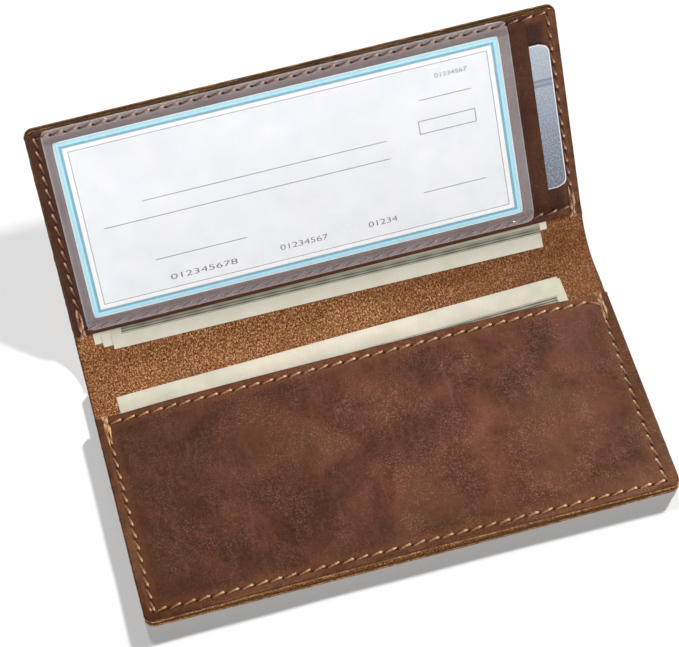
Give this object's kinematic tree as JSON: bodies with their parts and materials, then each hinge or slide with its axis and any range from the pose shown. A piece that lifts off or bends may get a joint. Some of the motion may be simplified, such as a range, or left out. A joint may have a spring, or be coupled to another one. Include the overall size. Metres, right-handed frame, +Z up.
{
  "type": "checkbook cover",
  "caption": "Leather bifold checkbook cover that stands open on one half, with a clear check window, a card slot and banknote pockets, sewn round its edges.",
  "frame": {"origin": "middle of the flat underside of the lower half", "axes": "+X along the fold, +Y from the lower half's free edge towards the fold, +Z up"},
  "size_m": [0.179, 0.1434, 0.0845],
  "materials": {
    "shell_leather": "oiled pull-up leather, suede inside",
    "pocket_leather": "oiled pull-up leather with scuffs",
    "panel_leather": "oiled pull-up leather",
    "lower_thread": "waxed thread",
    "upper_thread": "waxed thread",
    "window_film": "clear vinyl",
    "check_paper": "printed paper",
    "note_paper": "cotton paper",
    "card_plastic": "satin card"
  },
  "bodies": {
    "lower_half": {"shell_lower": "shell_leather", "lower_pocket": "pocket_leather", "pocket_side_seam": "lower_thread", "pocket_hem_seam": "lower_thread", "pocket_bartacks": "lower_thread", "lower_back_seam": "lower_thread"},
    "spine_1": {"spine_strip_1": "shell_leather"},
    "spine_2": {"spine_strip_2": "shell_leather"},
    "spine_3": {"spine_strip_3": "shell_leather"},
    "spine_4": {"spine_strip_4": "shell_leather"},
    "spine_5": {"spine_strip_5": "shell_leather"},
    "spine_6": {"spine_strip_6": "shell_leather"},
    "spine_7": {"spine_strip_7": "shell_leather"},
    "upper_half": {"shell_upper": "shell_leather", "bill_panel": "panel_leather", "card_panel": "panel_leather", "clear_window": "window_film", "upper_side_seam": "upper_thread", "window_hem_seam": "upper_thread", "panel_bartacks": "upper_thread", "upper_back_seam": "upper_thread"},
    "check": {"check": "check_paper"},
    "card": {"card": "card_plastic"},
    "lower_notes": {"lower_note_under": "note_paper", "lower_note_top": "note_paper"},
    "lower_tips_a": {"lower_note_tips_a": "note_paper"},
    "lower_tips_b": {"lower_note_tips_b": "note_paper"},
    "lower_tips_c": {"lower_note_tips_c": "note_paper"},
    "upper_notes": {"upper_note_back": "note_paper", "upper_note_middle": "note_paper", "upper_note_front": "note_paper"},
    "upper_tips": {"upper_note_tips": "note_paper"}
  },
  "joints": [
    {"name": "spine_fold_1", "type": "hinge", "parent": "lower_half", "child": "spine_1", "pos_m": [0, 0.0403, 0.0018], "axis": [1, 0, 0], "range_deg": [0, 10]},
    {"name": "spine_fold_2", "type": "hinge", "parent": "spine_1", "child": "spine_2", "pos_m": [0, 0.0438, 0.0018], "axis": [1, 0, 0], "range_deg": [0, 20]},
    {"name": "spine_fold_3", "type": "hinge", "parent": "spine_2", "child": "spine_3", "pos_m": [0, 0.0473, 0.0018], "axis": [1, 0, 0], "range_deg": [0, 32]},
    {"name": "spine_fold_4", "type": "hinge", "parent": "spine_3", "child": "spine_4", "pos_m": [0, 0.0508, 0.0018], "axis": [1, 0, 0], "range_deg": [0, 40]},
    {"name": "spine_fold_5", "type": "hinge", "parent": "spine_4", "child": "spine_5", "pos_m": [0, 0.0543, 0.0018], "axis": [1, 0, 0], "range_deg": [-16.05, 5]},
    {"name": "spine_fold_6", "type": "hinge", "parent": "spine_5", "child": "spine_6", "pos_m": [0, 0.05856, 0.00302], "axis": [1, 0, 0], "range_deg": [-16.05, 5]},
    {"name": "spine_fold_7", "type": "hinge", "parent": "spine_6", "child": "spine_7", "pos_m": [0, 0.06231, 0.00538], "axis": [1, 0, 0], "range_deg": [-16.05, 5]},
    {"name": "spine_fold_8", "type": "hinge", "parent": "spine_7", "child": "upper_half", "pos_m": [0, 0.06527, 0.00868], "axis": [1, 0, 0], "range_deg": [-16.05, 5]},
    {"name": "check_slide", "type": "slide", "parent": "upper_half", "child": "check", "axis": [1, 0, 0], "range_m": [0, 0.156]},
    {"name": "card_slide", "type": "slide", "parent": "upper_half", "child": "card", "axis": [1, 0, 0], "range_m": [0, 0.08]},
    {"name": "lower_notes_slide", "type": "slide", "parent": "lower_half", "child": "lower_notes", "axis": [0, 1, 0], "range_m": [-0.0145, 0]},
    {"name": "upper_notes_slide", "type": "slide", "parent": "upper_half", "child": "upper_notes", "axis": [0, -0.4352, -0.9003], "range_m": [-0.009, 0], "deforming": ["upper_note_tips"]},
    {"name": "lower_note_bend_1", "type": "hinge", "parent": "lower_notes", "child": "lower_tips_a", "pos_m": [0, 0.0403, 0.0018], "axis": [1, 0, 0], "range_deg": [0, 10]},
    {"name": "lower_note_bend_2", "type": "hinge", "parent": "lower_tips_a", "child": "lower_tips_b", "pos_m": [0, 0.0438, 0.0018], "axis": [1, 0, 0], "range_deg": [0, 20]},
    {"name": "lower_note_bend_3", "type": "hinge", "parent": "lower_tips_b", "child": "lower_tips_c", "pos_m": [0, 0.0473, 0.0018], "axis": [1, 0, 0], "range_deg": [0, 32]},
    {"name": "upper_note_bend", "type": "hinge", "parent": "upper_notes", "child": "upper_tips", "pos_m": [0, 0.06527, 0.00868], "axis": [-1, 0, 0], "range_deg": [-16.05, 5]}
  ],
  "couplings": [
    {"joint": "lower_note_bend_1", "follows": "spine_fold_1", "ratio": 1},
    {"joint": "lower_note_bend_2", "follows": "spine_fold_2", "ratio": 1},
    {"joint": "lower_note_bend_3", "follows": "spine_fold_3", "ratio": 1},
    {"joint": "upper_note_bend", "follows": "spine_fold_8", "ratio": 1}
  ]
}
